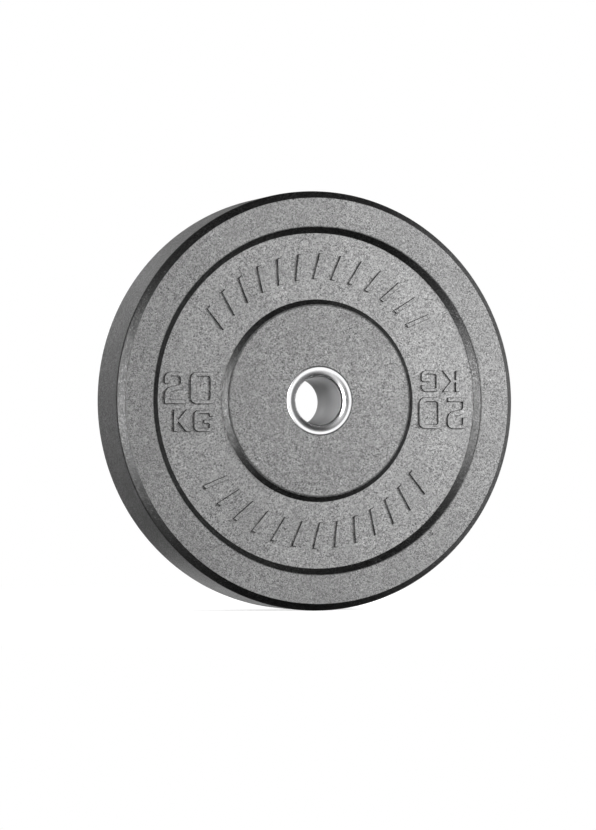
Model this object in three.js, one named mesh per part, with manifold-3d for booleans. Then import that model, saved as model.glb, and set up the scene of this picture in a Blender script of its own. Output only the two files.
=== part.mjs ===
// Bumper plate: a barbell weight of bonded rubber crumb, moulded round a steel insert.
// Lengths are in millimetres and angles in degrees.
// The bore runs along Y, the front face looks towards -Y and +Z is up.
// The origin is the centre of the plate, which stands on its tread.
// Both faces are alike, so each outline is drawn for one side and mirrored.

import * as THREE from "three";
import { mergeVertices, toCreasedNormals } from "three/addons/utils/BufferGeometryUtils.js";
import Module from "manifold-3d";

// Rubber moulding
const plateRadius = 225;
const plateThickness = 86;
const bevelWidth = 7.5;
const bevelDepth = 7.3;
const rimWidth = 31.2;
const rimStepRun = 6.1;
const recessDepth = 6.3;
const hubRadius = 101.7;
const hubDrop = 0.8;
const hubEdgeRun = 2.6;
const hubEdgeDrop = 0.9;
const hubStepRun = 4.2;

// Steel insert
const boreRadius = 25.2;
const sleeveWall = 4.5;
const collarWall = 3.5;
const flangeOverhang = 3;
const flangeThickness = 6;
const lipProud = 0.3;
const lipRound = 2.2;
const lipCrestWidth = 0.8;
const lipInnerRun = 1.8;
const lipInnerDrop = 0.6;
const mouthDepth = 4.6;
const throatLand = 0.4;
const socketDepth = 10;
const leadInRise = 1.2;
const leadInLength = 6.2;
const anchorDiscWidth = 32;
const anchorDiscThickness = 3;
const anchorHoleRadius = 6;
const anchorHoleCount = 8;

// Raised marks on the floor of the recess
const markHeight = 2;
const barCount = 13;
const barPitchAngle = 8.8;

// Sizes of the marks, as shares of the width of the recess
const numeralStrokeShare = 0.067;
const numeralHeightShare = 0.477;
const twoWidthShare = 0.343;
const zeroWidthShare = 0.397;
const numeralGapShare = 0.061;
const numeralCornerShare = 0.056;
const letterStrokeShare = 0.059;
const letterHeightShare = 0.324;
const kWidthShare = 0.283;
const gWidthShare = 0.307;
const letterGapShare = 0.034;
const letterCornerShare = 0.05;
const letterShiftShare = 0.054;
const lineGapShare = 0.083;
const markDropShare = 0.031;
const barStrokeShare = 0.073;
const barLengthShare = 0.39;
const barSlantShare = 0.1;

// The upright strokes of the signs are thicker than the level ones by this share
const numeralStemShare = 1.375;
const letterStemShare = 1.12;

// Clearance between neighbouring pieces, and how far a joined shape runs into its carrier
const fitClearance = 0.3;
const joinOverrun = 1;

// Facets round a turned piece and round a small hole, and steps in a rounded corner
const turnFacets = 60;
const holeFacets = 12;
const cornerSteps = 2;

// Edges that turn by more than this many degrees are shaded as sharp
const creaseAngle = 35;

// Radii of the moulding, from the tread inwards
const faceOuterRadius = plateRadius - bevelWidth;
const rimInnerRadius = faceOuterRadius - rimWidth;
const recessOuterRadius = rimInnerRadius - rimStepRun;
const hubFootRadius = hubRadius + hubEdgeRun + hubStepRun;
const recessWidth = recessOuterRadius - hubFootRadius;
const recessMidRadius = (recessOuterRadius + hubFootRadius) / 2;

// Radii of the insert, from the bore outwards
const sleeveRadius = boreRadius + sleeveWall;
const socketRadius = sleeveRadius + fitClearance;
const collarRadius = socketRadius + collarWall;
const lipRadius = collarRadius + flangeOverhang;
const throatRadius = boreRadius + leadInRise;
const anchorDiscRadius = socketRadius + anchorDiscWidth;
const anchorHolePitchRadius = (collarRadius + anchorDiscRadius) / 2;

// Heights above the middle plane of the plate
const rimFaceHeight = plateThickness / 2;
const bevelHeight = rimFaceHeight - bevelDepth;
const floorHeight = rimFaceHeight - recessDepth;
const hubFaceHeight = rimFaceHeight - hubDrop;
const lipTopHeight = hubFaceHeight + lipProud;
const flangeBackHeight = lipTopHeight - flangeThickness;
const throatHeight = lipTopHeight - mouthDepth;
const seatHeight = throatHeight - throatLand;
const collarEndHeight = seatHeight - socketDepth;
const anchorFrontHeight = collarEndHeight - fitClearance;
const anchorBackHeight = anchorFrontHeight - anchorDiscThickness;

const rubberMaterial = new THREE.MeshStandardMaterial({ color: 0x8e8e8e, roughness: 0.8, metalness: 0 });
const polishedSteel = new THREE.MeshStandardMaterial({ color: 0xdedede, roughness: 0.15, metalness: 1 });
const sleeveSteel = new THREE.MeshStandardMaterial({ color: 0xb4b4b4, roughness: 0.3, metalness: 1 });
const anchorSteel = new THREE.MeshStandardMaterial({ color: 0x8a8d90, roughness: 0.5, metalness: 1 });

const wasm = await Module();
wasm.setup();

// A closed outline turned about the Y axis. Its facets touch the true circle in their middle,
// and one of them is centred at the bottom, so the plate stands on a flat of its tread.
function turned(outline) {
  const cornerScale = 1 / Math.cos(Math.PI / turnFacets);
  const points = outline.map(([radius, height]) => new THREE.Vector2(radius * cornerScale, height));
  points.push(points[0].clone());
  return new THREE.LatheGeometry(points, turnFacets, Math.PI / turnFacets);
}

// A quarter of an ellipse from one point to another, bulging towards the corner between them
function quarterRound(from, to, steps) {
  const points = [];
  for (let step = 0; step <= steps; step += 1) {
    const angle = (step / steps) * (Math.PI / 2);
    const radius = from[0] + (to[0] - from[0]) * Math.sin(angle);
    const height = to[1] + (from[1] - to[1]) * Math.cos(angle);
    points.push([radius, height]);
  }
  return points;
}

function solidOf(geometry) {
  const bare = geometry.clone();
  bare.deleteAttribute("normal");
  bare.deleteAttribute("uv");
  const merged = mergeVertices(bare);
  return new wasm.Manifold(new wasm.Mesh({
    numProp: 3,
    vertProperties: new Float32Array(merged.attributes.position.array),
    triVerts: new Uint32Array(merged.index.array),
  }));
}

function geometryOf(solid) {
  const mesh = solid.getMesh();
  const geometry = new THREE.BufferGeometry();
  geometry.setAttribute("position", new THREE.BufferAttribute(new Float32Array(mesh.vertProperties), 3));
  geometry.setIndex(new THREE.BufferAttribute(new Uint32Array(mesh.triVerts), 1));
  return geometry;
}

// Route through the given corners, each one rounded unless its third value is 0
function roundedRoute(corners, cornerRadius, closed) {
  const route = [];
  corners.forEach(([x, y, rounding = 1], index) => {
    const corner = new THREE.Vector2(x, y);
    const isEnd = !closed && (index === 0 || index === corners.length - 1);
    if (isEnd || rounding === 0) {
      route.push(corner);
      return;
    }
    const before = new THREE.Vector2(...corners.at(index - 1)).sub(corner);
    const after = new THREE.Vector2(...corners[(index + 1) % corners.length]).sub(corner);
    const reach = Math.min(cornerRadius, before.length() / 2, after.length() / 2);
    const start = corner.clone().addScaledVector(before.normalize(), reach);
    const end = corner.clone().addScaledVector(after.normalize(), reach);
    const curve = new THREE.QuadraticBezierCurve(start, corner, end);
    route.push(...curve.getPoints(cornerSteps));
  });
  return route;
}

// One edge of a stroke: the route moved sideways by the given distance
function sideOf(route, distance, closed) {
  const last = route.length - 1;
  return route.map((point, index) => {
    const isStart = !closed && index === 0;
    const isEnd = !closed && index === last;
    const into = point.clone().sub(route.at(index - 1)).normalize();
    const out = route[(index + 1) % route.length].clone().sub(point).normalize();
    const first = isStart ? out : into;
    const second = isEnd ? into : out;
    const middle = first.clone().add(second).normalize();
    const sideways = new THREE.Vector2(-middle.y, middle.x);
    return point.clone().addScaledVector(sideways, distance / middle.dot(second));
  });
}

// One edge of a slanting stroke whose two ends are cut level
function levelSideOf([foot, head], distance) {
  const rise = head.clone().sub(foot).normalize().y;
  const shift = new THREE.Vector2(-distance / rise, 0);
  return [foot.clone().add(shift), head.clone().add(shift)];
}

// A raised stroke between two edges, standing out from the floor of the recess towards -Y.
// The edges' x and y become the plate's X and Z, with x stretched to thicken the upright strokes.
function raisedStroke(left, right, closed, stretch) {
  const stretched = (edge) => edge.map((point) => new THREE.Vector2(point.x * stretch, point.y));
  const outline = closed ? right : [...right, ...left.toReversed()];
  const shape = new THREE.Shape(stretched(outline));
  if (closed) {
    shape.holes.push(new THREE.Path(stretched(left)));
  }
  const geometry = new THREE.ExtrudeGeometry(shape, { depth: markHeight + joinOverrun, bevelEnabled: false });
  geometry.rotateX(Math.PI / 2);
  geometry.translate(0, joinOverrun - floorHeight, 0);
  return geometry;
}

// Corners of each stroke, as shares of the frame that the middle of the stroke runs in
const twoShares = [[0, 0.67], [0, 1], [1, 1], [1, 0.52], [0, 0.44], [0, 0, 0], [1.15, 0]];
const zeroShares = [[0, 0], [1, 0], [1, 1], [0, 1]];
const kStemShares = [[0, -0.11], [0, 1.11]];
const kArmShares = [[0.25, 0.42], [0.967, 1.11]];
const kLegShares = [[0.967, -0.11], [0.25, 0.58]];
const gShares = [[1, 0.72], [1, 1], [0, 1], [0, 0], [1, 0], [1, 0.45], [0.5, 0.45]];

// The two lines of the weight mark
const numeralLine = {
  stroke: recessWidth * numeralStrokeShare,
  height: recessWidth * numeralHeightShare,
  gap: recessWidth * numeralGapShare,
  corner: recessWidth * numeralCornerShare,
  stretch: numeralStemShare,
  signs: [
    { width: recessWidth * twoWidthShare, strokes: [{ shares: twoShares }] },
    { width: recessWidth * zeroWidthShare, strokes: [{ shares: zeroShares, closed: true }] },
  ],
};
const letterLine = {
  stroke: recessWidth * letterStrokeShare,
  height: recessWidth * letterHeightShare,
  gap: recessWidth * letterGapShare,
  corner: recessWidth * letterCornerShare,
  stretch: letterStemShare,
  signs: [
    {
      width: recessWidth * kWidthShare,
      strokes: [{ shares: kStemShares }, { shares: kArmShares, level: true }, { shares: kLegShares, level: true }],
    },
    { width: recessWidth * gWidthShare, strokes: [{ shares: gShares }] },
  ],
};

// A sign whose left edge and foot are given
function raisedSign(line, sign, left, foot) {
  const frameLeft = left / line.stretch + line.stroke / 2;
  const frameFoot = foot + line.stroke / 2;
  const frameWidth = sign.width / line.stretch - line.stroke;
  const frameHeight = line.height - line.stroke;
  return sign.strokes.map(({ shares, closed = false, level = false }) => {
    const corners = shares.map(([across, up, rounding]) => [
      frameLeft + across * frameWidth,
      frameFoot + up * frameHeight,
      rounding,
    ]);
    const route = roundedRoute(corners, line.corner, closed);
    const edge = (distance) => (level ? levelSideOf(route, distance) : sideOf(route, distance, closed));
    return raisedStroke(edge(line.stroke / 2), edge(-line.stroke / 2), closed, line.stretch);
  });
}

// A line of signs centred on the given x, above the given foot
function raisedLine(line, middle, foot) {
  const signWidths = line.signs.reduce((sum, sign) => sum + sign.width, 0);
  let left = middle - (signWidths + line.gap * (line.signs.length - 1)) / 2;
  return line.signs.flatMap((sign) => {
    const strokes = raisedSign(line, sign, left, foot);
    left += sign.width + line.gap;
    return strokes;
  });
}

// The weight mark, which reads upright at the left of the front face
function weightMark() {
  const lineGap = recessWidth * lineGapShare;
  const overallHeight = numeralLine.height + lineGap + letterLine.height;
  const foot = -overallHeight / 2 - recessWidth * markDropShare;
  const letterMiddle = -recessMidRadius + recessWidth * letterShiftShare;
  return [
    ...raisedLine(numeralLine, -recessMidRadius, foot + letterLine.height + lineGap),
    ...raisedLine(letterLine, letterMiddle, foot),
  ];
}

// A row of slanted bars along the upper arc of the recess
function barRow() {
  const barStroke = recessWidth * barStrokeShare;
  const barLength = recessWidth * barLengthShare;
  const barSlant = recessWidth * barSlantShare;
  const foot = new THREE.Vector2(-barSlant / 2, recessMidRadius - barLength / 2);
  const head = new THREE.Vector2(barSlant / 2, recessMidRadius + barLength / 2);
  const bars = [];
  for (let index = 0; index < barCount; index += 1) {
    const turn = (index - (barCount - 1) / 2) * barPitchAngle;
    const left = sideOf([foot, head], barStroke / 2, false);
    const right = sideOf([foot, head], -barStroke / 2, false);
    const bar = raisedStroke(left, right, false, 1);
    bar.rotateY(THREE.MathUtils.degToRad(turn));
    bars.push(bar);
  }
  return bars;
}

// Every mark stands twice on a face, half a turn apart, and the rear face repeats the front one
function allMarks() {
  const marks = [];
  for (const mark of [...weightMark(), ...barRow()]) {
    for (const halfTurn of [0, Math.PI]) {
      for (const toRear of [0, Math.PI]) {
        marks.push(mark.clone().rotateY(halfTurn).rotateZ(toRear));
      }
    }
  }
  return marks;
}

// A round rod along Y at each hole of an anchor disc
function anchorRods(radius, lowHeight, highHeight) {
  const rods = [];
  for (let index = 0; index < anchorHoleCount; index += 1) {
    const rod = new THREE.CylinderGeometry(radius, radius, highHeight - lowHeight, holeFacets);
    rod.translate(anchorHolePitchRadius, (lowHeight + highHeight) / 2, 0);
    rod.rotateY((2 * Math.PI * index) / anchorHoleCount);
    rods.push(rod);
  }
  return rods;
}

function rubberHalfOutline() {
  return [
    [socketRadius, anchorBackHeight - fitClearance],
    [anchorDiscRadius + fitClearance, anchorBackHeight - fitClearance],
    [anchorDiscRadius + fitClearance, anchorFrontHeight + fitClearance],
    [collarRadius + fitClearance, anchorFrontHeight + fitClearance],
    [collarRadius + fitClearance, flangeBackHeight - fitClearance],
    [lipRadius + fitClearance, flangeBackHeight - fitClearance],
    [lipRadius + fitClearance, hubFaceHeight],
    [hubRadius, hubFaceHeight],
    [hubRadius + hubEdgeRun, hubFaceHeight - hubEdgeDrop],
    [hubFootRadius, floorHeight],
    [recessOuterRadius, floorHeight],
    [rimInnerRadius, rimFaceHeight],
    [faceOuterRadius, rimFaceHeight],
    [plateRadius, bevelHeight],
  ];
}

function rubberBody() {
  const half = rubberHalfOutline();
  const otherHalf = half.map(([radius, height]) => [radius, -height]).reverse();
  let body = solidOf(turned([...half, ...otherHalf].reverse()));
  const plugRadius = anchorHoleRadius - fitClearance;
  const plugLow = anchorBackHeight - fitClearance - joinOverrun;
  const plugHigh = anchorFrontHeight + fitClearance + joinOverrun;
  for (const plug of anchorRods(plugRadius, plugLow, plugHigh)) {
    body = body.add(solidOf(plug));
    body = body.add(solidOf(plug.rotateX(Math.PI)));
  }
  for (const mark of allMarks()) {
    body = body.add(solidOf(mark));
  }
  return geometryOf(body);
}

// Tube that lines the bore, with a slight taper at each end that leads the bar in
function hubSleeve() {
  const end = seatHeight - fitClearance;
  const half = [
    [boreRadius, end - leadInLength],
    [throatRadius, end],
    [sleeveRadius, end],
  ];
  const otherHalf = half.map(([radius, height]) => [radius, -height]).reverse();
  return turned([...half, ...otherHalf].reverse());
}

// Flanged ring at one end of the bore, with its lip towards +Y
function lipRing() {
  const crestOuterRadius = lipRadius - lipRound;
  const crestInnerRadius = crestOuterRadius - lipCrestWidth;
  const coneRadius = crestInnerRadius - lipInnerRun;
  const outerRound = quarterRound([crestOuterRadius, lipTopHeight], [lipRadius, lipTopHeight - lipRound], cornerSteps);
  const innerRound = quarterRound([crestInnerRadius, lipTopHeight], [coneRadius, lipTopHeight - lipInnerDrop], 1);
  return turned([
    [collarRadius, flangeBackHeight],
    [lipRadius, flangeBackHeight],
    ...outerRound.reverse(),
    ...innerRound,
    [throatRadius, throatHeight],
    [throatRadius, seatHeight],
    [socketRadius, seatHeight],
    [socketRadius, collarEndHeight],
    [collarRadius, collarEndHeight],
  ]);
}

// Perforated disc behind a lip ring, on the +Y side
function anchorDisc() {
  let disc = solidOf(turned([
    [socketRadius, anchorBackHeight],
    [anchorDiscRadius, anchorBackHeight],
    [anchorDiscRadius, anchorFrontHeight],
    [socketRadius, anchorFrontHeight],
  ]));
  for (const rod of anchorRods(anchorHoleRadius, anchorBackHeight - joinOverrun, anchorFrontHeight + joinOverrun)) {
    disc = disc.subtract(solidOf(rod));
  }
  return geometryOf(disc);
}

function piece(name, geometry, material) {
  const mesh = new THREE.Mesh(toCreasedNormals(geometry, THREE.MathUtils.degToRad(creaseAngle)), material);
  mesh.name = name;
  return mesh;
}

const group = new THREE.Group();
group.add(piece("rubber_body", rubberBody(), rubberMaterial));
group.add(piece("hub_sleeve", hubSleeve(), sleeveSteel));

// The rear insert pieces stand as they are drawn, and the front ones are turned to face -Y
for (const [side, turn] of [["front", Math.PI], ["rear", 0]]) {
  const insertEnd = new THREE.Group();
  insertEnd.rotation.x = turn;
  insertEnd.add(piece(`${side}_lip_ring`, lipRing(), polishedSteel));
  insertEnd.add(piece(`${side}_anchor_disc`, anchorDisc(), anchorSteel));
  group.add(insertEnd);
}

export default group;
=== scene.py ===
# Bumper plate of bonded rubber crumb, moulded round a polished steel insert.
# Metres throughout. The bore runs along Y, the front face looks towards -Y
# and the plate stands on its tread.

import math

import bmesh
import bpy
from mathutils import Matrix, Vector


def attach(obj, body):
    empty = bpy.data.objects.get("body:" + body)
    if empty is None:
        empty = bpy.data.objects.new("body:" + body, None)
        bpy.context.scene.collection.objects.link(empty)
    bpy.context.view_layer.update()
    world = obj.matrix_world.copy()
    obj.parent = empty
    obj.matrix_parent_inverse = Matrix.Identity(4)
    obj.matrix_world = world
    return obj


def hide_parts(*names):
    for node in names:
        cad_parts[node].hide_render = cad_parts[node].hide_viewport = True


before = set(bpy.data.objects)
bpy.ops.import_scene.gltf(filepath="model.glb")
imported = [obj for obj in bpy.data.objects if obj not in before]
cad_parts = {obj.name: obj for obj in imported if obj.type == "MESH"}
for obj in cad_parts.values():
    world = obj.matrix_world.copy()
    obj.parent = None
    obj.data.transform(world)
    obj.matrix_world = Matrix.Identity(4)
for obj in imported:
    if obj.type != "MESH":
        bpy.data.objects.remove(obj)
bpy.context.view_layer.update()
mm = 0.001
boreAxis = Vector((0, 1, 0))
centre = Vector((0, 0, 0))
scene = bpy.context.scene


# Node trees

def addNode(tree, kind, place, **values):
    node = tree.nodes.new(kind)
    node.location = (place[0] * 180, -place[1] * 160)
    for name, value in values.items():
        setattr(node, name, value)
    return node


def setInputs(node, **values):
    for name, value in values.items():
        node.inputs[name].default_value = value
    return node


def mathNode(tree, operation, place, first, second=None, clamp=False):
    node = addNode(tree, "ShaderNodeMath", place, operation=operation, use_clamp=clamp)
    for socket, value in zip(node.inputs, (first, second)):
        if isinstance(value, bpy.types.NodeSocket):
            tree.links.new(value, socket)
        elif value is not None:
            socket.default_value = value
    return node.outputs[0]


def rampNode(tree, place, source, low, high, fromLow=0.0, fromHigh=1.0, smooth=False):
    node = addNode(tree, "ShaderNodeMapRange", place, clamp=True)
    node.interpolation_type = "SMOOTHSTEP" if smooth else "LINEAR"
    tree.links.new(source, node.inputs["Value"])
    node.inputs["From Min"].default_value = fromLow
    node.inputs["From Max"].default_value = fromHigh
    node.inputs["To Min"].default_value = low
    node.inputs["To Max"].default_value = high
    return node.outputs["Result"]


def mixColours(tree, place, factor, first, second):
    node = addNode(tree, "ShaderNodeMix", place, data_type="RGBA")
    sockets = [s for s in node.inputs if s.enabled]
    for socket, value in zip(sockets, (factor, first, second)):
        if isinstance(value, bpy.types.NodeSocket):
            tree.links.new(value, socket)
        else:
            socket.default_value = value
    return next(s for s in node.outputs if s.enabled)


def grey(level, tint=(1, 1, 1)):
    return (level * tint[0], level * tint[1], level * tint[2], 1)


def newGroup(name, inputs, outputs):
    group = bpy.data.node_groups.new(name, "ShaderNodeTree")
    for label, kind, value in inputs:
        socket = group.interface.new_socket(label, in_out="INPUT", socket_type=kind)
        if value is not None:
            socket.default_value = value
    for label, kind in outputs:
        group.interface.new_socket(label, in_out="OUTPUT", socket_type=kind)
    return group, addNode(group, "NodeGroupInput", (-4, 0)), addNode(group, "NodeGroupOutput", (8, 0))


def placeGroup(tree, group, place, **values):
    node = addNode(tree, "ShaderNodeGroup", place)
    node.node_tree = group
    for name, value in values.items():
        if isinstance(value, bpy.types.NodeSocket):
            tree.links.new(value, node.inputs[name])
        else:
            node.inputs[name].default_value = value
    return node


noiseRange = (0.25, 0.75)      # where nearly all of a noise texture's values lie

# Bonded crumb: granules of their own brightness, a finer speckle, and scattered pits and bright chips
crumbGrain = {
    "granuleSwing": 0.3,
    "speckleScale": 1.3,       # this and the next scale are shares of the granules' own
    "chipScale": 0.42,
    "speckleSwing": 0.46,
    "chipEdge": (0.16, 0.34),  # where a pit or chip starts to fade, and where it ends
    "pitsAbove": 0.8,
    "chipsBelow": 0.16,
    "pitDarkness": 0.22,
    "chipBrightness": 0.4,
    "domeReach": 0.7,
    "speckleHeight": 0.7,
    "granuleHeight": 0.6,
    "pitDepth": 1.4,
}


def crumbGroup():
    g = crumbGrain
    group, given, result = newGroup(
        "bondedCrumb",
        [
            ("Vector", "NodeSocketVector", None),
            ("Granule", "NodeSocketFloat", 560.0),
        ],
        [("Shade", "NodeSocketFloat"), ("Height", "NodeSocketFloat")],
    )
    links = group.links
    granules = addNode(group, "ShaderNodeTexVoronoi", (-2, 0), feature="F1")
    granules.inputs["Randomness"].default_value = 1
    links.new(given.outputs["Vector"], granules.inputs["Vector"])
    links.new(given.outputs["Granule"], granules.inputs["Scale"])
    tone = addNode(group, "ShaderNodeSeparateColor", (-1, 0))
    links.new(granules.outputs["Color"], tone.inputs["Color"])

    speckle = addNode(group, "ShaderNodeTexNoise", (-2, 2))
    setInputs(speckle, Detail=2.0, Roughness=0.6)
    links.new(given.outputs["Vector"], speckle.inputs["Vector"])
    speckleScale = mathNode(group, "MULTIPLY", (-3, 2), given.outputs["Granule"], g["speckleScale"])
    links.new(speckleScale, speckle.inputs["Scale"])

    chips = addNode(group, "ShaderNodeTexVoronoi", (-2, 4), feature="F1")
    links.new(given.outputs["Vector"], chips.inputs["Vector"])
    chipScale = mathNode(group, "MULTIPLY", (-3, 4), given.outputs["Granule"], g["chipScale"])
    links.new(chipScale, chips.inputs["Scale"])
    chipTone = addNode(group, "ShaderNodeSeparateColor", (-1, 4))
    links.new(chips.outputs["Color"], chipTone.inputs["Color"])
    chipSpot = rampNode(group, (-1, 5), chips.outputs["Distance"], 1, 0, *g["chipEdge"], smooth=True)
    isPit = mathNode(group, "GREATER_THAN", (0, 4), chipTone.outputs["Red"], g["pitsAbove"])
    isChip = mathNode(group, "LESS_THAN", (0, 5), chipTone.outputs["Red"], g["chipsBelow"])
    pit = mathNode(group, "MULTIPLY", (1, 4), isPit, chipSpot)
    chip = mathNode(group, "MULTIPLY", (1, 5), isChip, chipSpot)

    swing = g["granuleSwing"]
    granuleShade = rampNode(group, (0, 0), tone.outputs["Red"], -swing, swing)
    swing = g["speckleSwing"]
    speckleShade = rampNode(group, (0, 2), speckle.outputs["Fac"], -swing, swing, *noiseRange)
    shade = mathNode(group, "ADD", (2, 0), granuleShade, speckleShade)
    darker = mathNode(group, "MULTIPLY", (2, 4), pit, g["pitDarkness"])
    shade = mathNode(group, "SUBTRACT", (3, 0), shade, darker)
    paler = mathNode(group, "MULTIPLY", (2, 5), chip, g["chipBrightness"])
    shade = mathNode(group, "ADD", (4, 0), shade, paler)
    links.new(mathNode(group, "ADD", (6, 0), shade, 1.0), result.inputs["Shade"])

    height = rampNode(group, (0, 7), granules.outputs["Distance"], 1, 0, 0.0, g["domeReach"], smooth=True)
    rough = mathNode(group, "MULTIPLY", (1, 8), speckle.outputs["Fac"], g["speckleHeight"])
    height = mathNode(group, "ADD", (2, 7), height, rough)
    raised = mathNode(group, "MULTIPLY", (2, 8), tone.outputs["Green"], g["granuleHeight"])
    height = mathNode(group, "ADD", (3, 7), height, raised)
    sunk = mathNode(group, "MULTIPLY", (3, 8), pit, g["pitDepth"])
    height = mathNode(group, "SUBTRACT", (4, 7), height, sunk)
    links.new(height, result.inputs["Height"])
    return group


# Slow cloudy change of tone, for dust, handling and uneven pressing
def cloudGroup():
    group, given, result = newGroup(
        "cloudyTone",
        [
            ("Vector", "NodeSocketVector", None),
            ("Scale", "NodeSocketFloat", 14.0),
            ("Amount", "NodeSocketFloat", 0.1),
        ],
        [("Factor", "NodeSocketFloat")],
    )
    clouds = addNode(group, "ShaderNodeTexNoise", (-1, 0))
    setInputs(clouds, Detail=4.0, Roughness=0.62)
    group.links.new(given.outputs["Vector"], clouds.inputs["Vector"])
    group.links.new(given.outputs["Scale"], clouds.inputs["Scale"])
    swing = rampNode(group, (0, 0), clouds.outputs["Fac"], -1, 1, *noiseRange)
    swing = mathNode(group, "MULTIPLY", (1, 0), swing, given.outputs["Amount"])
    group.links.new(mathNode(group, "ADD", (2, 0), swing, 1.0), result.inputs["Factor"])
    return group


# Fine lines left by a cutter that goes round the bore axis, or by drawing along it
def toolLinesGroup():
    group, given, result = newGroup(
        "toolLines",
        [
            ("Vector", "NodeSocketVector", None),
            ("Across", "NodeSocketFloat", 9000.0),
            ("Around", "NodeSocketFloat", 2.0),
            ("Along", "NodeSocketFloat", 9000.0),
        ],
        [("Lines", "NodeSocketFloat")],
    )
    links = group.links
    split = addNode(group, "ShaderNodeSeparateXYZ", (-3, 0))
    links.new(given.outputs["Vector"], split.inputs["Vector"])
    flat = addNode(group, "ShaderNodeCombineXYZ", (-2, 0))
    links.new(split.outputs["X"], flat.inputs["X"])
    links.new(split.outputs["Z"], flat.inputs["Z"])
    reach = addNode(group, "ShaderNodeVectorMath", (-1, 0), operation="LENGTH")
    links.new(flat.outputs["Vector"], reach.inputs[0])
    spoke = addNode(group, "ShaderNodeVectorMath", (-1, 1), operation="NORMALIZE")
    links.new(flat.outputs["Vector"], spoke.inputs[0])
    spokeParts = addNode(group, "ShaderNodeSeparateXYZ", (0, 1))
    links.new(spoke.outputs["Vector"], spokeParts.inputs["Vector"])
    radial = mathNode(group, "MULTIPLY", (1, 0), reach.outputs["Value"], given.outputs["Across"])
    axial = mathNode(group, "MULTIPLY", (1, 3), split.outputs["Y"], given.outputs["Along"])
    turnX = mathNode(group, "MULTIPLY", (1, 1), spokeParts.outputs["X"], given.outputs["Around"])
    turnZ = mathNode(group, "MULTIPLY", (1, 2), spokeParts.outputs["Z"], given.outputs["Around"])
    lineStep = mathNode(group, "ADD", (2, 0), radial, axial)
    lineSpace = addNode(group, "ShaderNodeCombineXYZ", (3, 0))
    links.new(lineStep, lineSpace.inputs["X"])
    links.new(turnX, lineSpace.inputs["Y"])
    links.new(turnZ, lineSpace.inputs["Z"])
    lines = addNode(group, "ShaderNodeTexNoise", (4, 0))
    setInputs(lines, Scale=1.0, Detail=3.0, Roughness=0.7)
    links.new(lineSpace.outputs["Vector"], lines.inputs["Vector"])
    links.new(lines.outputs["Fac"], result.inputs["Lines"])
    return group


crumb = crumbGroup()
clouds = cloudGroup()
toolLines = toolLinesGroup()


def newMaterial(name):
    material = bpy.data.materials.new(name)
    material.use_nodes = True
    tree = material.node_tree
    tree.nodes.clear()
    shader = addNode(tree, "ShaderNodeBsdfPrincipled", (6, 0))
    output = addNode(tree, "ShaderNodeOutputMaterial", (8, 0))
    tree.links.new(shader.outputs["BSDF"], output.inputs["Surface"])
    where = addNode(tree, "ShaderNodeTexCoord", (-6, 0))
    return material, tree, shader, where.outputs["Object"]


rubberLook = {
    "faceLevel": 0.31,
    "floorLift": 1.14,       # the recess is a little paler than the rim and the hub
    # painted shade: the steep walls, bevels and steps get a near-black colour where shade falls
    "paintedWallShade": 0.004,
    # on the painted-shade walls the speckle is sharpened, so pale crumbs show as small painted glints over
    # the real grain
    "wallSpeck": 4.0,
    "wallSpeckFrom": 0.9,    # from this share of a wall on, only the palest crumbs start to show
    "treadLevel": 0.04,
    "darkest": 0.05,
    "granule": 700.0,
    "faceContrast": 1.22,
    "treadContrast": 0.6,
    "unevenGrain": 0.35,
    "unevenScale": 34.0,
    "cloud": 0.085,
    "cloudScale": 16.0,
    "faceRoughness": 0.5,
    "wallRoughness": 0.3,
    "treadRoughness": 0.34,
    "roughnessSwing": -0.12,   # paler crumbs are smoother
    "gloss": 0.22,
    "skinGloss": 0.16,
    "skinContrast": 3.6,
    "skinRoughness": 0.3,
    "bumpDistance": 0.16 * mm,
    "bumpStrength": 0.8,
    "wallRelief": 0.7,
    "treadRelief": 0.4,
}


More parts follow.
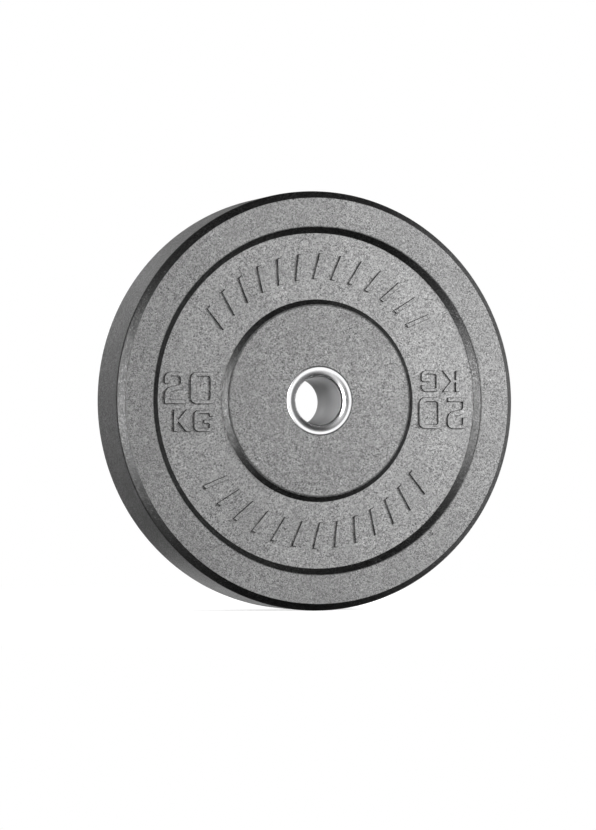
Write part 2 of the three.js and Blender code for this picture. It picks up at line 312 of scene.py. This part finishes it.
def rubberMaterial():
    look = rubberLook
    material, tree, shader, place = newMaterial("crumbRubber")
    links = tree.links
    wall = addNode(tree, "ShaderNodeAttribute", (-4, 2), attribute_name="wall").outputs["Fac"]
    tread = addNode(tree, "ShaderNodeAttribute", (-4, 3), attribute_name="tread").outputs["Fac"]
    recess = addNode(tree, "ShaderNodeAttribute", (-4, 4), attribute_name="recess").outputs["Fac"]
    grain = placeGroup(tree, crumb, (-3, 0), Vector=place, Granule=look["granule"])
    cloud = placeGroup(tree, clouds, (-3, 1), Vector=place, Scale=look["cloudScale"], Amount=look["cloud"])

    # the grain stands out more in some places than in others
    uneven = placeGroup(
        tree, clouds, (-3, 2), Vector=place, Scale=look["unevenScale"], Amount=look["unevenGrain"],
    )
    contrast = rampNode(tree, (-2, 2), tread, look["faceContrast"], look["treadContrast"])
    contrast = mathNode(tree, "MULTIPLY", (-1, 2), contrast, uneven.outputs["Factor"])
    shade = mathNode(tree, "SUBTRACT", (-2, 0), grain.outputs["Shade"], 1.0)
    shade = mathNode(tree, "MULTIPLY", (-1, 0), shade, contrast)
    shade = mathNode(tree, "ADD", (0, 0), shade, 1.0)
    shade = mathNode(tree, "MULTIPLY", (1, 0), shade, cloud.outputs["Factor"])
    lift = rampNode(tree, (-2, 4), recess, 1.0, look["floorLift"])
    # on the walls painted dark as shade only the palest crumbs stand out, partly crumb grain and partly
    # painted glints
    lit = mathNode(tree, "MAXIMUM", (1, 2), shade, look["darkest"])
    sharper = rampNode(tree, (1, 3), wall, 1.0, look["wallSpeck"], look["wallSpeckFrom"], 1.0)
    speck = mathNode(tree, "POWER", (2, 2), lit, sharper)
    faceShade = mathNode(tree, "MULTIPLY", (2, 0), speck, lift)

    # painted shade: the wall share darkens the colour of every steep wall, bevel and step towards near black
    tone = mixColours(tree, (0, 3), wall, grey(look["faceLevel"]), grey(look["paintedWallShade"]))
    tone = mixColours(tree, (1, 3), tread, tone, grey(look["treadLevel"]))
    colour = addNode(tree, "ShaderNodeVectorMath", (3, 1), operation="SCALE")
    links.new(tone, colour.inputs[0])
    links.new(faceShade, colour.inputs["Scale"])
    links.new(colour.outputs["Vector"], shader.inputs["Base Color"])

    rough = rampNode(tree, (0, 5), wall, look["faceRoughness"], look["wallRoughness"])
    treadRough = rampNode(tree, (0, 6), tread, 0.0, look["treadRoughness"] - look["wallRoughness"])
    rough = mathNode(tree, "ADD", (1, 5), rough, treadRough)
    roughSwing = mathNode(tree, "SUBTRACT", (0, 7), grain.outputs["Shade"], 1.0)
    roughSwing = mathNode(tree, "MULTIPLY", (1, 6), roughSwing, look["roughnessSwing"])
    rough = mathNode(tree, "ADD", (2, 5), rough, roughSwing, clamp=True)
    links.new(rough, shader.inputs["Roughness"])

    # the moulded walls have a thin skin that shines more on some crumbs than on others
    shader.inputs["Specular IOR Level"].default_value = look["gloss"]
    shader.inputs["Coat Roughness"].default_value = look["skinRoughness"]
    skin = mathNode(tree, "POWER", (3, 6), lit, look["skinContrast"])
    onWall = rampNode(tree, (3, 5), wall, 0.0, look["skinGloss"])
    skin = mathNode(tree, "MULTIPLY", (4, 5), skin, onWall, clamp=True)
    links.new(skin, shader.inputs["Coat Weight"])

    relief = rampNode(tree, (2, 8), tread, 1.0, look["treadRelief"])
    wallRelief = rampNode(tree, (2, 9), wall, 1.0, look["wallRelief"])
    relief = mathNode(tree, "MULTIPLY", (3, 7), relief, wallRelief)
    height = mathNode(tree, "MULTIPLY", (3, 8), grain.outputs["Height"], relief)
    bump = addNode(tree, "ShaderNodeBump", (4, 8))
    setInputs(bump, Strength=look["bumpStrength"], Distance=look["bumpDistance"])
    links.new(height, bump.inputs["Height"])
    links.new(bump.outputs["Normal"], shader.inputs["Normal"])
    return material


# What all the steels share, then each one's own tone and its tool lines: how close these lie
# across, around and along the bore
steelFinish = {"cloudScale": 60.0, "lineRange": (0.3, 0.7), "smooth": 0.8, "rough": 1.25, "bump": 0.5}
polishedLook = {
    "level": 0.78,
    "tint": (1, 1, 1.01),
    "roughness": 0.2,
    "swing": 0.06,
    "lines": {"Across": 7000.0, "Around": 3.0, "Along": 7000.0},
    "lineDepth": 0.004 * mm,
}
sleeveLook = {
    "level": 0.46,
    "tint": (1, 1, 1.01),
    "roughness": 0.53,
    "swing": 0.03,
    "lines": {"Across": 0.0, "Around": 160.0, "Along": 120.0},
    "lineDepth": 0.01 * mm,
}
anchorLook = {
    "level": 0.36,
    "tint": (0.98, 1, 1.03),
    "roughness": 0.5,
    "swing": 0.14,
    "lines": {"Across": 300.0, "Around": 20.0, "Along": 300.0},
    "lineDepth": 0.02 * mm,
}


def steelMaterial(name, look):
    finish = steelFinish
    dull, bright = 1 - look["swing"], 1 + look["swing"]
    material, tree, shader, place = newMaterial(name)
    links = tree.links
    lines = placeGroup(tree, toolLines, (-3, 0), Vector=place, **look["lines"])
    cloud = placeGroup(tree, clouds, (-3, 2), Vector=place, Scale=finish["cloudScale"], Amount=look["swing"])
    shade = rampNode(tree, (-1, 0), lines.outputs["Lines"], dull, bright, *finish["lineRange"])
    shade = mathNode(tree, "MULTIPLY", (0, 0), shade, cloud.outputs["Factor"])
    colour = addNode(tree, "ShaderNodeVectorMath", (2, 0), operation="SCALE")
    colour.inputs[0].default_value = grey(look["level"], look["tint"])[:3]
    links.new(shade, colour.inputs["Scale"])
    links.new(colour.outputs["Vector"], shader.inputs["Base Color"])
    smooth, rough = look["roughness"] * finish["smooth"], look["roughness"] * finish["rough"]
    roughness = rampNode(tree, (2, 3), cloud.outputs["Factor"], smooth, rough, dull, bright)
    links.new(roughness, shader.inputs["Roughness"])
    setInputs(shader, Metallic=1.0)
    bump = addNode(tree, "ShaderNodeBump", (4, 4))
    setInputs(bump, Strength=finish["bump"], Distance=look["lineDepth"])
    links.new(lines.outputs["Lines"], bump.inputs["Height"])
    links.new(bump.outputs["Normal"], shader.inputs["Normal"])
    return material


crumbRubber = rubberMaterial()
polishedSteel = steelMaterial("polishedSteel", polishedLook)
sleeveSteel = steelMaterial("sleeveSteel", sleeveLook)
anchorSteel = steelMaterial("anchorSteel", anchorLook)
print("materials made")


# Turned pieces

flatFrom = 0.9995      # a face that looks this straight along the bore is shaded flat


def roundedPath(corners, steps=4, guard=0.25 * mm):
    path = []
    for index, (radius, height, rounding) in enumerate(corners):
        corner = Vector((radius, height))
        toBefore = (Vector(corners[index - 1][:2]) - corner).normalized()
        toAfter = (Vector(corners[(index + 1) % len(corners)][:2]) - corner).normalized()
        if rounding == 0:
            path.append(corner)
            continue
        halfTurn = (math.pi - toBefore.angle(toAfter)) / 2
        reach = rounding * math.tan(halfTurn)
        hub = corner + (toBefore + toAfter).normalized() * rounding / math.cos(halfTurn)
        start = (corner + toBefore * reach - hub).normalized()
        end = (corner + toAfter * reach - hub).normalized()
        path.append(corner + toBefore * (reach + guard))
        path += [hub + start.slerp(end, step / steps) * rounding for step in range(steps + 1)]
        path.append(corner + toAfter * (reach + guard))
    return path


def mirroredOutline(half):
    return half + [(radius, -height, rounding) for radius, height, rounding in reversed(half)]


def turnedBody(outline, facets, steps=4, guard=0.25 * mm):
    bm = bmesh.new()
    ring = [bm.verts.new((point.x, point.y, 0)) for point in roundedPath(outline, steps, guard)]
    edges = [bm.edges.new((ring[index - 1], ring[index])) for index in range(len(ring))]
    bmesh.ops.spin(
        bm, geom=ring + edges, cent=centre, axis=boreAxis, dvec=centre,
        angle=2 * math.pi, steps=facets, use_merge=True, use_duplicate=False,
    )
    bmesh.ops.remove_doubles(bm, verts=bm.verts, dist=0.001 * mm)
    bmesh.ops.recalc_face_normals(bm, faces=bm.faces)
    return bm


def finishedPiece(bm, name, materials, node):
    for face in bm.faces:
        face.smooth = abs(face.normal.y) < flatFrom
    mesh = bpy.data.meshes.new(name)
    bm.to_mesh(mesh)
    bm.free()
    piece = bpy.data.objects.new(name, mesh)
    scene.collection.objects.link(piece)
    for material in materials:
        mesh.materials.append(material)
    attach(piece, "root")
    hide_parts(node)
    return piece


rubber = {
    "radius": 225 * mm,
    "faceHeight": 43 * mm,
    "bevelWidth": 7.5 * mm,
    "bevelDepth": 7.3 * mm,
    "rimWidth": 31.2 * mm,
    "rimStepRun": 6.5 * mm,
    "floorHeight": 36.7 * mm,
    "hubHeight": 42.2 * mm,
    "hubRadius": 101.2 * mm,
    "hubEdgeRun": 2.4 * mm,
    "hubEdgeDrop": 0.9 * mm,
    "hubStepRun": 5.0 * mm,
    "facets": 288,
    # rounding of the edges as moulded
    "footRound": 0.3 * mm,
    "rimFootRound": 1.6 * mm,
    "hubEdgeRound": 5 * mm,
    "hubStepRound": 1.2 * mm,
    "rimStepRound": 4.5 * mm,
    "faceEdgeRound": 1.2 * mm,
    "treadEdgeRound": 3.8 * mm,
    "boreEdgeRound": 0.05 * mm,
}
insertSeat = {
    "tubeRadius": 30 * mm,
    "collarRadius": 33.5 * mm,
    "flangeRadius": 37.3 * mm,
    "gap": 0.3 * mm,
    "lipGap": 0.08 * mm,
    "flangeBack": 36.5 * mm,
    "discRadius": 62 * mm,
    "discFront": 27.2 * mm,
    "discBack": 24.2 * mm,
}


def rubberOutline():
    r, s = rubber, insertSeat
    faceOuter = r["radius"] - r["bevelWidth"]
    rimInner = faceOuter - r["rimWidth"]
    hubFoot = r["hubRadius"] + r["hubEdgeRun"] + r["hubStepRun"]
    gap = s["gap"]
    return mirroredOutline([
        (s["tubeRadius"], s["discBack"] - gap, 0),
        (s["discRadius"] + gap, s["discBack"] - gap, 0),
        (s["discRadius"] + gap, s["discFront"] + gap, 0),
        (s["collarRadius"] + gap, s["discFront"] + gap, 0),
        (s["collarRadius"] + gap, s["flangeBack"] - gap, 0),
        (s["flangeRadius"] + s["lipGap"], s["flangeBack"] - gap, 0),
        (s["flangeRadius"] + s["lipGap"], r["hubHeight"], r["boreEdgeRound"]),
        (r["hubRadius"], r["hubHeight"], r["hubEdgeRound"]),
        (r["hubRadius"] + r["hubEdgeRun"], r["hubHeight"] - r["hubEdgeDrop"], r["hubStepRound"]),
        (hubFoot, r["floorHeight"], r["footRound"]),
        (rimInner - r["rimStepRun"], r["floorHeight"], r["rimFootRound"]),
        (rimInner, r["faceHeight"], r["rimStepRound"]),
        (faceOuter, r["faceHeight"], r["faceEdgeRound"]),
        (r["radius"], r["faceHeight"] - r["bevelDepth"], r["treadEdgeRound"]),
    ])


# Raised marks: each outline is given in millimetres from its lower left corner,
# with a rounding for each of its corners
marks = {
    "sink": 1.0 * mm,
    # steps up from the floor of the recess: how far each goes in and how far out
    "walls": [(0.36 * mm, 1.6 * mm), (0.13 * mm, 0.2 * mm), (0.16 * mm, 0.15 * mm), (0.12 * mm, 0)],
    "cornerSteps": 4,
    "wideCorner": 4,       # a corner rounded by more millimetres than this gets more steps
    "wideCornerSteps": 6,
    "barCount": 13,
    "barPitch": math.radians(8.8),
    "barMiddle": 144.3 * mm,
    "barOutline": [(-6.2, -14, 0), (-1.0, -14, 0), (6.2, 14, 0), (1.0, 14, 0)],
}
two = [
    (0, 0, 0), (24, 0, 0), (24, 4.8, 0), (6.6, 4.8, 0), (6.6, 12.4, 1.8), (24.6, 16, 7),
    (24.6, 34.2, 7), (0, 34.2, 7), (0, 21.6, 0), (6.6, 21.6, 0), (6.6, 29.4, 2), (18, 29.4, 3),
    (18, 20.9, 3), (0, 17.2, 7.5),
]
zeroOuter = [(0, 0, 7), (28.5, 0, 7), (28.5, 34.2, 7), (0, 34.2, 7)]
zeroInner = [(6.6, 4.8, 2.8), (21.9, 4.8, 2.8), (21.9, 29.4, 2.8), (6.6, 29.4, 2.8)]
letterK = [
    (0, 0, 0), (4.7, 0, 0), (4.7, 10, 0), (5.4, 10, 0), (13.7, 0, 0), (20.2, 0, 0), (10.3, 11.65, 0),
    (20.2, 23.3, 0), (13.7, 23.3, 0), (5.4, 13.3, 0), (4.7, 13.3, 0), (4.7, 23.3, 0), (0, 23.3, 0),
]
letterG = [
    (0, 0, 5.5), (22, 0, 5.5), (22, 12.8, 3), (11, 12.8, 0), (11, 8.6, 0), (17.3, 8.6, 1.4),
    (17.3, 4.2, 1.4), (4.7, 4.2, 2), (4.7, 19.1, 2), (17.3, 19.1, 1.4), (17.3, 15.9, 0), (22, 15.9, 0),
    (22, 23.3, 5.5), (0, 23.3, 5.5),
]
signs = [
    {"outline": two, "corner": (-173.0, -4.7)},
    {"outline": zeroOuter, "hole": zeroInner, "corner": (-144.0, -4.7)},
    {"outline": letterK, "corner": (-162.8, -33.9)},
    {"outline": letterG, "corner": (-140.1, -33.9)},
]


def outlineLoop(bm, outline, corner, height):
    known = set(bm.verts)
    verts = [bm.verts.new(((corner[0] + x) * mm, -height, (corner[1] + z) * mm)) for x, z, _ in outline]
    for index in range(len(verts)):
        bm.edges.new((verts[index - 1], verts[index]))
    for vert, (_, _, rounding) in zip(verts, outline):
        if rounding:
            steps = marks["wideCornerSteps"] if rounding > marks["wideCorner"] else marks["cornerSteps"]
            bmesh.ops.bevel(
                bm, geom=[vert], offset=rounding * mm, offset_type="OFFSET", segments=steps,
                profile=0.5, affect="VERTICES", material=-1, clamp_overlap=True,
            )
    verts = [vert for vert in bm.verts if vert not in known]
    return list({edge for vert in verts for edge in vert.link_edges})


def raiseFaces(bm, faces):
    for face in faces:
        if face.normal.y > 0:
            face.normal_flip()
    lifted = bmesh.ops.extrude_face_region(bm, geom=faces, use_keep_orig=True)["geom"]
    top = [item for item in lifted if isinstance(item, bmesh.types.BMFace)]
    verts = [item for item in lifted if isinstance(item, bmesh.types.BMVert)]
    bmesh.ops.translate(bm, verts=verts, vec=(0, -marks["sink"], 0))
    for thickness, depth in marks["walls"]:
        bmesh.ops.inset_region(bm, faces=top, thickness=thickness, depth=depth, use_even_offset=True)


def marksBody():
    bm = bmesh.new()
    base = rubber["floorHeight"] - marks["sink"]
    for sign in signs:
        loops = outlineLoop(bm, sign["outline"], sign["corner"], base)
        if "hole" in sign:
            loops += outlineLoop(bm, sign["hole"], sign["corner"], base)
            faces = bmesh.ops.bridge_loops(bm, edges=loops)["faces"]
        else:
            faces = bmesh.ops.contextual_create(bm, geom=loops)["faces"]
        bm.normal_update()
        raiseFaces(bm, faces)
    for index in range(marks["barCount"]):
        loops = outlineLoop(bm, marks["barOutline"], (0, marks["barMiddle"] / mm), base)
        turn = (index - (marks["barCount"] - 1) / 2) * marks["barPitch"]
        verts = list({vert for edge in loops for vert in edge.verts})
        bmesh.ops.rotate(bm, verts=verts, cent=centre, matrix=Matrix.Rotation(turn, 3, "Y"))
        faces = bmesh.ops.contextual_create(bm, geom=loops)["faces"]
        bm.normal_update()
        raiseFaces(bm, faces)
    for axis in ("Y", "Z"):     # half a turn on the same face, then the rear face
        copies = bmesh.ops.duplicate(bm, geom=bm.verts[:] + bm.edges[:] + bm.faces[:])["geom"]
        verts = [item for item in copies if isinstance(item, bmesh.types.BMVert)]
        bmesh.ops.rotate(bm, verts=verts, cent=centre, matrix=Matrix.Rotation(math.pi, 3, axis))
    bmesh.ops.recalc_face_normals(bm, faces=bm.faces)
    return bm


zones = {
    "flatUpTo": 0.01,
    "wallOver": 0.08,        # a wall counts fully when it is steeper than flat by this much
    # painted shade on the walls of the marks, a little lighter than on the other walls, draws their dark
    # outlines
    "markWall": 0.84,        # the walls of the marks are a little paler than the other walls
    "marksPastHub": 10 * mm,
    "marksShortOfRim": 5 * mm,
    "treadDepth": 0.1 * mm,
}


# How far each point lies on a wall, on the tread or in the recess, for the rubber's material. The wall share
# also sets the painted shade that darkens the colour of steep walls
def paintZones(bm):
    z = zones
    wall = bm.verts.layers.float.new("wall")
    tread = bm.verts.layers.float.new("tread")
    recess = bm.verts.layers.float.new("recess")
    recessInner = rubber["hubRadius"] + rubber["hubEdgeRun"]
    recessOuter = rubber["radius"] - rubber["bevelWidth"] - rubber["rimWidth"] - rubber["rimStepRun"] / 2
    bm.normal_update()
    for vert in bm.verts:
        steepness = 1 - abs(vert.normal.y)
        reach = math.hypot(vert.co.x, vert.co.z)
        onMark = rubber["hubRadius"] + z["marksPastHub"] < reach < recessOuter - z["marksShortOfRim"]
        slope = min(1, max(0, steepness - z["flatUpTo"]) / z["wallOver"])
        # the wall share carries the painted shade of the walls as well as their gloss and relief
        vert[wall] = slope * (z["markWall"] if onMark else 1)
        vert[tread] = float(reach > rubber["radius"] - z["treadDepth"])
        vert[recess] = float(recessInner < reach < recessOuter)


rubberBm = turnedBody(rubberOutline(), rubber["facets"])
marksBm = marksBody()
marksMesh = bpy.data.meshes.new("marks")
marksBm.to_mesh(marksMesh)
marksBm.free()
rubberBm.from_mesh(marksMesh)
bpy.data.meshes.remove(marksMesh)
paintZones(rubberBm)
rubberPiece = finishedPiece(rubberBm, "rubberBody", [crumbRubber], "rubber_body")
print("rubber body made", len(rubberPiece.data.polygons), "faces")


# Steel insert

sleeve = {
    "boreRadius": 25.2 * mm,
    "outerRadius": 29.7 * mm,
    "leadIn": 7 * mm,
    "leadInRound": 60 * mm,
    # a thin spigot reaches up inside the ring and leaves a fine dark seam round it
    "spigotRadius": 25.9 * mm,
    "spigotHeight": 37.2 * mm,
    "shoulderHeight": 35 * mm,
    "edge": 0.05 * mm,
    "facets": 192,
}
lip = {
    "radius": insertSeat["flangeRadius"],
    "topHeight": 42.9 * mm,
    "round": 1.6 * mm,
    # the crest rolls over into a shallow bell mouth that leads the bar in
    "bellStart": 34.1 * mm,
    "bellRadius": 11.2 * mm,
    "bellTurn": math.radians(38),
    "bellSteps": 14,
    "throatRound": 0.6 * mm,
    "seatHeight": 36.2 * mm,
    "socketRadius": insertSeat["tubeRadius"],
    "collarRadius": insertSeat["collarRadius"],
    "collarEnd": 27.5 * mm,
    "flangeBack": insertSeat["flangeBack"],
    "edge": 0.2 * mm,
    "facets": 192,
}


def sleeveBody():
    s = sleeve
    return turnedBody(mirroredOutline([
        (s["boreRadius"], s["spigotHeight"] - s["leadIn"], s["leadInRound"]),
        (s["spigotRadius"], s["spigotHeight"], s["edge"]),
        (s["spigotRadius"] + s["spigotHeight"] - s["shoulderHeight"], s["shoulderHeight"], 0),
        (s["outerRadius"], s["shoulderHeight"], 0),
    ]), s["facets"], guard=0.02 * mm)


def lipBody(side):
    p = lip
    bell = []
    for step in range(p["bellSteps"] + 1):
        turn = p["bellTurn"] * step / p["bellSteps"]
        bell.append((p["bellStart"] - p["bellRadius"] * math.sin(turn),
                     p["topHeight"] - p["bellRadius"] * (1 - math.cos(turn)), 0))
    bell[-1] = bell[-1][:2] + (p["throatRound"],)
    outline = [
        (p["collarRadius"], p["flangeBack"], 0),
        (p["radius"], p["flangeBack"], p["edge"]),
        (p["radius"], p["topHeight"], p["round"]),
        *bell,
        (bell[-1][0], p["seatHeight"], 0),
        (p["socketRadius"], p["seatHeight"], 0),
        (p["socketRadius"], p["collarEnd"], p["edge"]),
        (p["collarRadius"], p["collarEnd"], p["edge"]),
    ]
    return turnedBody([(radius, side * height, rounding) for radius, height, rounding in outline],
                      p["facets"], steps=6, guard=0.03 * mm)


finishedPiece(sleeveBody(), "hubSleeve", [sleeveSteel], "hub_sleeve")
for side, name in ((-1, "front"), (1, "rear")):
    finishedPiece(lipBody(side), f"{name}LipRing", [polishedSteel], f"{name}_lip_ring")
    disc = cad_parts[f"{name}_anchor_disc"]
    for slot in disc.material_slots:
        slot.material = anchorSteel
print("insert made")


# Camera, floor and light

shot = {
    "azimuth": math.radians(-19.63),
    "elevation": math.radians(-1.34),
    "distance": 3.8,
    "lens": 152.4,
    "aimRight": -9.3 * mm,
    "aimUp": -14.6 * mm,
}


def directionFrom(azimuth, elevation):
    return Vector((
        math.sin(azimuth) * math.cos(elevation),
        -math.cos(azimuth) * math.cos(elevation),
        math.sin(elevation),
    ))


def placeCamera():
    data = bpy.data.cameras.new("camera")
    data.sensor_fit = "AUTO"
    data.sensor_width = 36
    data.lens = shot["lens"]
    camera = bpy.data.objects.new("camera", data)
    scene.collection.objects.link(camera)
    back = directionFrom(shot["azimuth"], shot["elevation"])
    right = (-back).cross(Vector((0, 0, 1))).normalized()
    up = right.cross(-back)
    aim = right * shot["aimRight"] + up * shot["aimUp"]
    camera.location = back * shot["distance"]
    camera.rotation_mode = "QUATERNION"
    camera.rotation_quaternion = (aim - camera.location).to_track_quat("-Z", "Y")
    scene.camera = camera


stage = {
    "floorSize": 12.0,
    "floorLevel": 0.8,
    "floorGlow": 0.74,
    "ambientFront": 0.24,
    "ambientBehind": 0.8,
    "ambientTurn": 0.5,      # how far towards the back the ambient light is full
    "fadeStart": 0.35,       # the floor fades to white between these two distances
    "fadeEnd": 0.9,
}


def floorMaterial():
    material = bpy.data.materials.new("paleFloor")
    material.use_nodes = True
    tree = material.node_tree
    tree.nodes.clear()
    links = tree.links
    matt = addNode(tree, "ShaderNodeBsdfDiffuse", (0, 0))
    matt.inputs["Color"].default_value = grey(stage["floorLevel"])
    glow = addNode(tree, "ShaderNodeEmission", (0, 1))
    glow.inputs["Strength"].default_value = stage["floorGlow"]
    lit = addNode(tree, "ShaderNodeAddShader", (1, 0))
    links.new(matt.outputs[0], lit.inputs[0])
    links.new(glow.outputs[0], lit.inputs[1])
    white = addNode(tree, "ShaderNodeEmission", (1, 2))
    white.inputs["Color"].default_value = grey(1)
    where = addNode(tree, "ShaderNodeTexCoord", (-3, 3))
    away = addNode(tree, "ShaderNodeVectorMath", (-2, 3), operation="LENGTH")
    links.new(where.outputs["Object"], away.inputs[0])
    start, end = stage["fadeStart"], stage["fadeEnd"]
    fade = rampNode(tree, (-1, 3), away.outputs["Value"], 0, 1, start, end, smooth=True)
    shown = addNode(tree, "ShaderNodeMixShader", (2, 0))
    links.new(fade, shown.inputs[0])
    links.new(lit.outputs[0], shown.inputs[1])
    links.new(white.outputs[0], shown.inputs[2])
    ray = addNode(tree, "ShaderNodeLightPath", (0, -2))
    pick = addNode(tree, "ShaderNodeMixShader", (3, 0))
    links.new(ray.outputs["Is Camera Ray"], pick.inputs[0])
    links.new(matt.outputs[0], pick.inputs[1])
    links.new(shown.outputs[0], pick.inputs[2])
    output = addNode(tree, "ShaderNodeOutputMaterial", (4, 0))
    links.new(pick.outputs[0], output.inputs["Surface"])
    return material


def makeFloor():
    bm = bmesh.new()
    bmesh.ops.create_grid(bm, x_segments=1, y_segments=1, size=stage["floorSize"] / 2)
    mesh = bpy.data.meshes.new("floor")
    bm.to_mesh(mesh)
    bm.free()
    mesh.materials.append(floorMaterial())
    floor = bpy.data.objects.new("floor", mesh)
    floor.location.z = -rubber["radius"]
    floor.visible_glossy = False
    floor.visible_diffuse = False
    floor.visible_shadow = False
    scene.collection.objects.link(floor)


# What gloss sees all round the plate: paler patches in a dim room. Along each axis a patch starts
# at the first number, is full from the second to the third and ends at the fourth.
roomLevel = 0.06
patches = {
    "front": {
        "level": 0.18,
        "y": (-3, -2, -0.05, 0.35),
        "z": (-0.75, -0.4, 0.2, 0.55),
    },
    "lowLeft": {
        "level": 0.4,
        "x": (-3, -2, -0.4, -0.15),
        "y": (-0.7, -0.45, 0.1, 0.4),
        "z": (-0.97, -0.9, -0.6, -0.3),
    },
    "highLeft": {
        "level": 0.2,
        "x": (-3, -2, -0.4, -0.15),
        "y": (-0.7, -0.45, 0.1, 0.4),
        "z": (0.3, 0.6, 0.9, 0.97),
    },
    "backdrop": {
        "level": 0.75,
        "x": (-3, -2, -0.2, 0.1),
        "y": (0.3, 0.7, 2, 3),
        "z": (-0.83, 0.5, 0.6, 0.85),
    },
    "lowBack": {
        "level": 1.1,
        "x": (-0.1, 0.15, 0.7, 0.9),
        "y": (0.3, 0.7, 2, 3),
        "z": (-0.8, -0.6, -0.35, -0.18),
    },
    "highBack": {
        "level": 0.5,
        "x": (-0.25, -0.05, 0.2, 0.31),
        "y": (0.3, 0.7, 2, 3),
        "z": (0.06, 0.18, 0.35, 0.5),
    },
    "rightWall": {
        "level": 0.9,
        "x": (0.5, 0.75, 2, 3),
        "y": (-0.2, 0.1, 0.7, 0.95),
        "z": (-0.85, -0.1, 0.5, 0.85),
    },
    "ceiling": {
        "level": 0.12,
        "z": (0.6, 0.9, 2, 3),
    },
    "strip": {
        "level": 13.0,
        "x": (-3, -2, -0.4, 0),
        "y": (-0.88, -0.66, -0.15, 0.05),
        "z": (-0.62, -0.2, 0.2, 0.62),
    },
    "card": {
        "level": 1.3,
        "x": (0.02, 0.3, 0.38, 0.6),
        "y": (-3, -2, -0.1, 0.25),
        "z": (-0.5, -0.1, 0.04, 0.26),
    },
    "table": {
        "level": 0.65,
        "x": (-3, -2, -0.1, 0.6),
        "y": (-3, -2, -0.1, 0.25),
        "z": (-0.86, -0.62, -0.42, -0.12),
    },
    "sideWall": {
        "level": 0.5,
        "x": (-3, -2, -0.1, 0.28),
        "y": (-3, -2, -0.1, 0.25),
        "z": (0.1, 0.3, 0.6, 0.88),
    },
}


def bandNode(tree, place, source, band):
    rise = rampNode(tree, place, source, 0, 1, band[0], band[1], smooth=True)
    fall = rampNode(tree, (place[0], place[1] + 1), source, 1, 0, band[2], band[3], smooth=True)
    return mathNode(tree, "MULTIPLY", (place[0] + 1, place[1]), rise, fall)


# White wherever the camera looks, the patches for gloss, and for soft light a room that is
# brighter behind the plate
def makeWorld():
    world = bpy.data.worlds.new("studio")
    world.use_nodes = True
    scene.world = world
    tree = world.node_tree
    tree.nodes.clear()
    links = tree.links
    where = addNode(tree, "ShaderNodeTexCoord", (-12, 2))
    split = addNode(tree, "ShaderNodeSeparateXYZ", (-11, 2))
    links.new(where.outputs["Generated"], split.inputs[0])
    gloss = roomLevel
    for index, patch in enumerate(patches.values()):
        shown = patch["level"]
        for column, axis in enumerate("xyz"):
            if axis in patch:
                along = split.outputs[axis.upper()]
                band = bandNode(tree, (-10 + 2 * column, 2 * index), along, patch[axis])
                shown = mathNode(tree, "MULTIPLY", (-9 + 2 * column, 2 * index + 1), shown, band)
        gloss = mathNode(tree, "ADD", (-3, 2 * index), gloss, shown)

    ray = addNode(tree, "ShaderNodeLightPath", (-4, -2))
    glossy, through = ray.outputs["Is Glossy Ray"], ray.outputs["Is Transmission Ray"]
    mirrored = mathNode(tree, "MAXIMUM", (-2, -2), glossy, through)
    plain = addNode(tree, "ShaderNodeMix", (-1, 1), data_type="FLOAT")
    links.new(mirrored, plain.inputs[0])
    soft = rampNode(
        tree, (-2, 1), split.outputs["Y"], stage["ambientFront"], stage["ambientBehind"],
        0, stage["ambientTurn"], smooth=True,
    )
    links.new(soft, plain.inputs[2])
    links.new(gloss, plain.inputs[3])
    level = addNode(tree, "ShaderNodeMix", (0, 0), data_type="FLOAT")
    links.new(ray.outputs["Is Camera Ray"], level.inputs[0])
    links.new(plain.outputs[0], level.inputs[2])
    level.inputs[3].default_value = 1.0
    sky = addNode(tree, "ShaderNodeBackground", (1, 0))
    sky.inputs["Color"].default_value = grey(1)
    links.new(level.outputs[0], sky.inputs["Strength"])
    output = addNode(tree, "ShaderNodeOutputWorld", (2, 0))
    links.new(sky.outputs[0], output.inputs["Surface"])


# One soft box, seen only by what is matt
softBox = {"azimuth": 48, "elevation": 17, "distance": 1.2, "width": 0.6, "height": 0.6, "level": 14.8}


def makeSoftBox():
    data = bpy.data.lights.new("softBox", "AREA")
    data.shape = "RECTANGLE"
    data.size = softBox["width"]
    data.size_y = softBox["height"]
    data.energy = softBox["level"] * math.pi * softBox["width"] * softBox["height"]
    light = bpy.data.objects.new("softBox", data)
    towards = directionFrom(math.radians(softBox["azimuth"]), math.radians(softBox["elevation"]))
    light.location = towards * softBox["distance"]
    light.rotation_mode = "QUATERNION"
    light.rotation_quaternion = towards.to_track_quat("Z", "Y")
    light.visible_camera = False
    light.visible_glossy = False
    scene.collection.objects.link(light)


placeCamera()
makeFloor()
makeWorld()
makeSoftBox()
scene.view_settings.view_transform = "Standard"
print("stage made")
